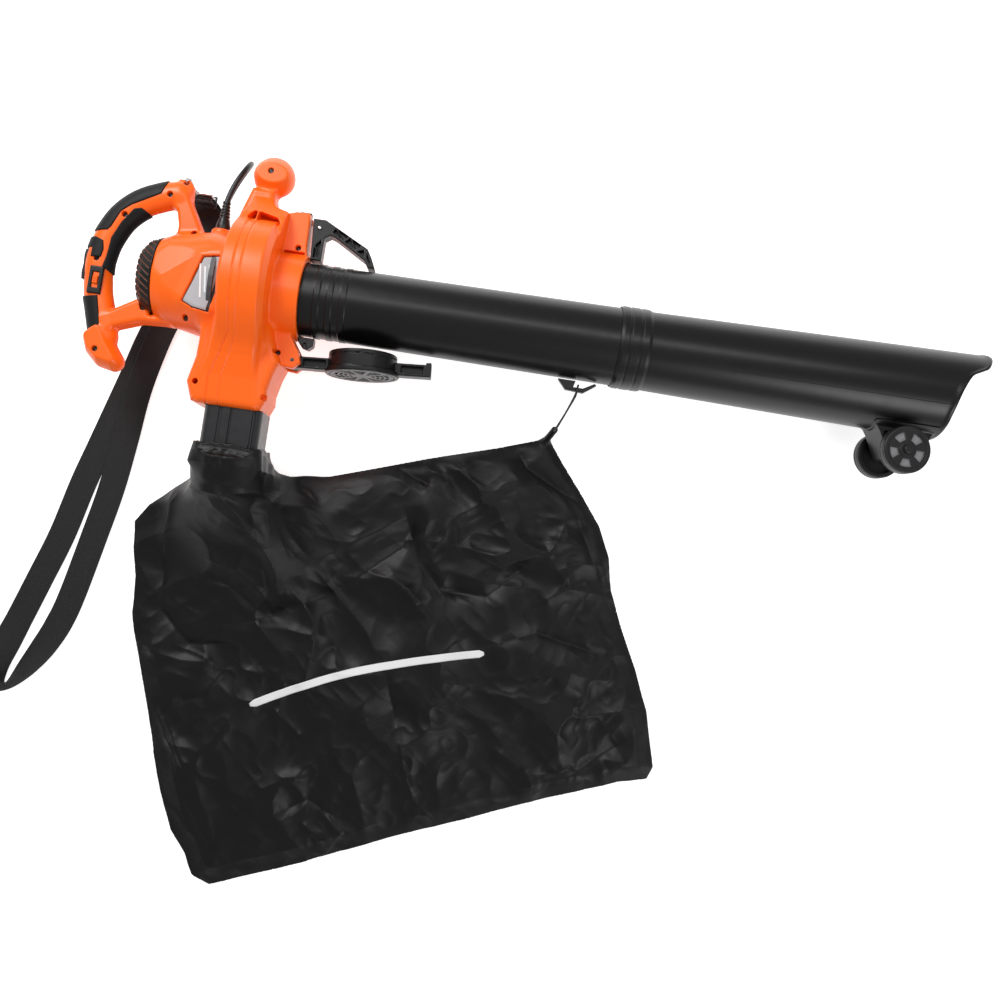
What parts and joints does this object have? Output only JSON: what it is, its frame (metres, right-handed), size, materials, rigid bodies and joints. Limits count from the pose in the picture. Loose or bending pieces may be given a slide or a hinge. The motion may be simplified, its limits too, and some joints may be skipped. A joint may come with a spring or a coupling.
{
  "type": "leaf blower",
  "caption": "Hand-held mains leaf blower and vacuum in its vacuum set-up, with two-part tube, wheels, hinged intake cover, collection bag and shoulder strap, lying on its side.",
  "frame": {"origin": "centre of the flat rest pad under the left half of the fan scroll, on the floor, below the fan shaft", "axes": "+X along the fan shaft and the vacuum tube towards the nozzle, +Y up when the machine is carried, +Z the machine's right side, which faces up while it lies on its left side"},
  "size_m": [1.33, 1.0208, 0.2025],
  "materials": {
    "housing_orange": "satin moulded plastic",
    "slider_orange": "satin moulded plastic",
    "black_plastic": "satin black",
    "tube_black": "satin black",
    "grip_rubber": "soft overmould, matte",
    "cord_jacket": "smooth jacket",
    "duct_grey": "ribbed dark grey",
    "wheel_grey": "moulded",
    "impeller_grey": "glass filled plastic",
    "label_silver": "printed foil",
    "bag_fabric": "woven polyester",
    "strap_fabric": "webbing",
    "steel": "plated",
    "copper": "enamelled copper",
    "board_green": "circuit board"
  },
  "bodies": {
    "machine": {"bag_hook": "black_plastic", "bag_string": "strap_fabric", "brush_holder_lower": "black_plastic", "brush_holder_upper": "black_plastic", "cable_boot": "black_plastic", "collection_bag": "bag_fabric", "coupling_ring": "tube_black", "cover_hinge_pin": "steel", "fan_bulkhead": "black_plastic", "field_coil_lower": "copper", "field_coil_upper": "copper", "front_bearing": "steel", "grip_pad_inner": "grip_rubber", "grip_pad_lower": "grip_rubber", "grip_pad_upper": "grip_rubber", "housing_left_shell": "housing_orange", "housing_right_shell": "housing_orange", "housing_screw_01": "steel", "housing_screw_02": "steel", "housing_screw_03": "steel", "housing_screw_04": "steel", "housing_screw_05": "steel", "housing_screw_06": "steel", "housing_screw_07": "steel", "housing_screw_08": "steel", "housing_screw_09": "steel", "housing_screw_10": "steel", "housing_screw_11": "steel", "interlock_switch": "black_plastic", "latch_pin": "steel", "lower_tube": "tube_black", "mains_plug": "black_plastic", "motor_end_bracket": "steel", "name_plate": "label_silver", "outlet_duct": "duct_grey", "power_cord": "cord_jacket", "rear_bearing": "steel", "rear_vent_cap": "black_plastic", "speed_control_board": "board_green", "stator_core": "steel", "strap_slide": "steel", "strap_snap_hook": "steel", "strap_webbing": "strap_fabric", "switch_bezel": "black_plastic", "switch_module": "black_plastic", "tube_latch_arm": "black_plastic", "tube_lock_hook": "black_plastic", "upper_tube": "tube_black", "wheel_axle": "steel"},
    "rotor": {"motor_shaft": "steel", "armature": "steel", "commutator": "copper", "impeller": "impeller_grey", "impeller_nut": "steel"},
    "power_rocker": {"power_rocker": "black_plastic"},
    "speed_slider": {"speed_slider": "slider_orange"},
    "tube_release_button": {"tube_release_button": "black_plastic"},
    "right_wheel": {"right_wheel": "wheel_grey"},
    "left_wheel": {"left_wheel": "wheel_grey"},
    "intake_cover": {"intake_cover": "black_plastic"}
  },
  "joints": [
    {"name": "fan_spin", "type": "hinge", "parent": "machine", "child": "rotor", "pos_m": [0, 0, 0.105], "axis": [1, 0, 0], "continuous": true},
    {"name": "rocker_tilt", "type": "hinge", "parent": "machine", "child": "power_rocker", "pos_m": [-0.219, 0.0028, 0.105], "axis": [0, 0, 1], "range_deg": [-3, 3]},
    {"name": "speed_slide", "type": "slide", "parent": "machine", "child": "speed_slider", "axis": [0, 1, 0], "range_m": [-0.005, 0.005]},
    {"name": "button_press", "type": "slide", "parent": "machine", "child": "tube_release_button", "axis": [0, -1, 0], "range_m": [0, 0.003], "stiffness_N_per_m": 500, "springref_m": -0.001},
    {"name": "right_wheel_spin", "type": "hinge", "parent": "machine", "child": "right_wheel", "pos_m": [0.911, -0.0905, 0.105], "axis": [0, 0, 1], "continuous": true},
    {"name": "left_wheel_spin", "type": "hinge", "parent": "machine", "child": "left_wheel", "pos_m": [0.911, -0.0905, 0.105], "axis": [0, 0, 1], "continuous": true},
    {"name": "cover_swing", "type": "hinge", "parent": "machine", "child": "intake_cover", "pos_m": [0.0747, -0.088, 0.105], "axis": [0, 0, -1], "range_deg": [0, 35]}
  ]
}
